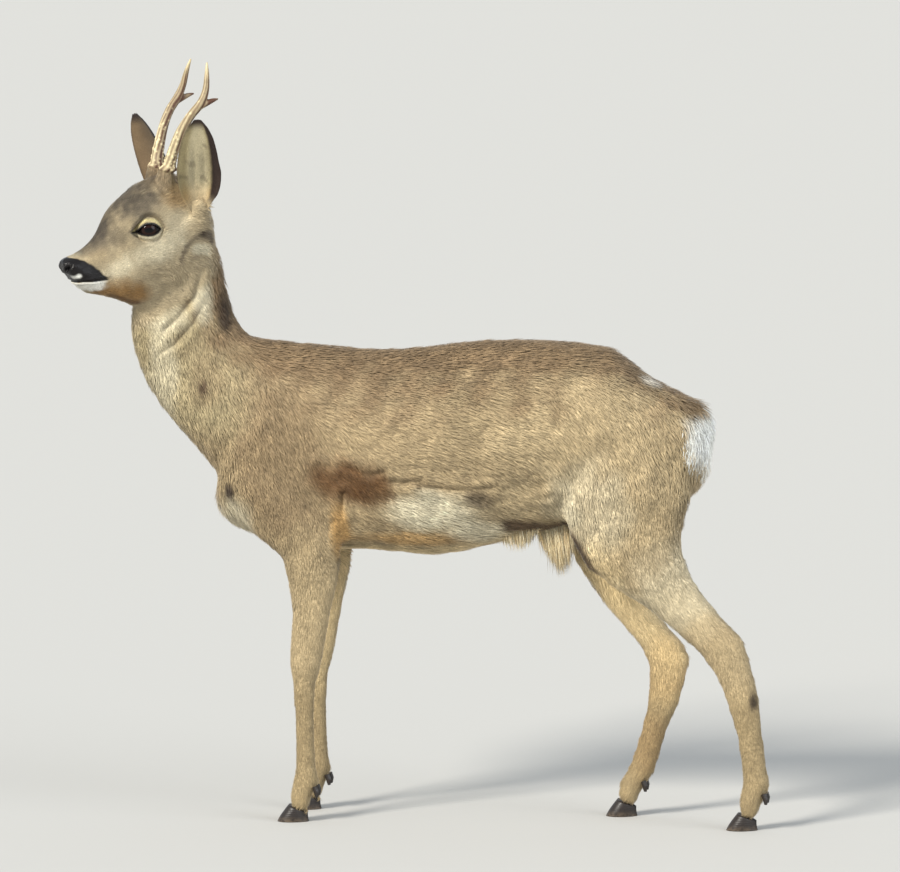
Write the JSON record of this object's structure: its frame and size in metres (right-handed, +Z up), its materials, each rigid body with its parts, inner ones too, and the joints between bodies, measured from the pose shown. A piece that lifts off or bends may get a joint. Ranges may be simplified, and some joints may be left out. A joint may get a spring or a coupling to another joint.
{
  "type": "roe deer buck, life-size still model",
  "caption": "Standing roe deer buck in grey-brown winter coat, head turned to its left, with short forked antlers and a white rump.",
  "frame": {"origin": "middle of the whole animal's box, on the ground under it", "axes": "-X towards the nose, -Y towards the animal's left side, +Z up"},
  "size_m": [1.044, 0.247, 1.1164],
  "materials": {
    "winter_coat": "short, dense, slightly ticked hair",
    "white_hair": "long soft white hair",
    "long_hair": "long coarse hair",
    "nose_leather": "moist, finely pebbled",
    "eye": "wet gloss",
    "antler": "pearled bone, paler at the tips",
    "hoof_horn": "satin horn"
  },
  "bodies": {
    "root": {"head": "winter_coat", "nose": "nose_leather", "eye_left": "eye", "ear_left": "winter_coat", "antler_beam_left": "antler", "antler_front_tine_left": "antler", "antler_rear_tine_left": "antler", "eye_right": "eye", "ear_right": "winter_coat", "antler_beam_right": "antler", "antler_front_tine_right": "antler", "antler_rear_tine_right": "antler", "neck": "winter_coat", "fore_left_inner_claw": "hoof_horn", "fore_left_outer_claw": "hoof_horn", "fore_left_inner_dewclaw": "hoof_horn", "fore_left_outer_dewclaw": "hoof_horn", "fore_left_leg": "winter_coat", "fore_right_inner_claw": "hoof_horn", "fore_right_outer_claw": "hoof_horn", "fore_right_inner_dewclaw": "hoof_horn", "fore_right_outer_dewclaw": "hoof_horn", "fore_right_leg": "winter_coat", "hind_left_inner_claw": "hoof_horn", "hind_left_outer_claw": "hoof_horn", "hind_left_inner_dewclaw": "hoof_horn", "hind_left_outer_dewclaw": "hoof_horn", "hind_left_leg": "winter_coat", "hind_right_inner_claw": "hoof_horn", "hind_right_outer_claw": "hoof_horn", "hind_right_inner_dewclaw": "hoof_horn", "hind_right_outer_dewclaw": "hoof_horn", "hind_right_leg": "winter_coat", "tail": "white_hair", "belly_brush": "long_hair", "trunk": "winter_coat"}
  },
  "joints": []
}
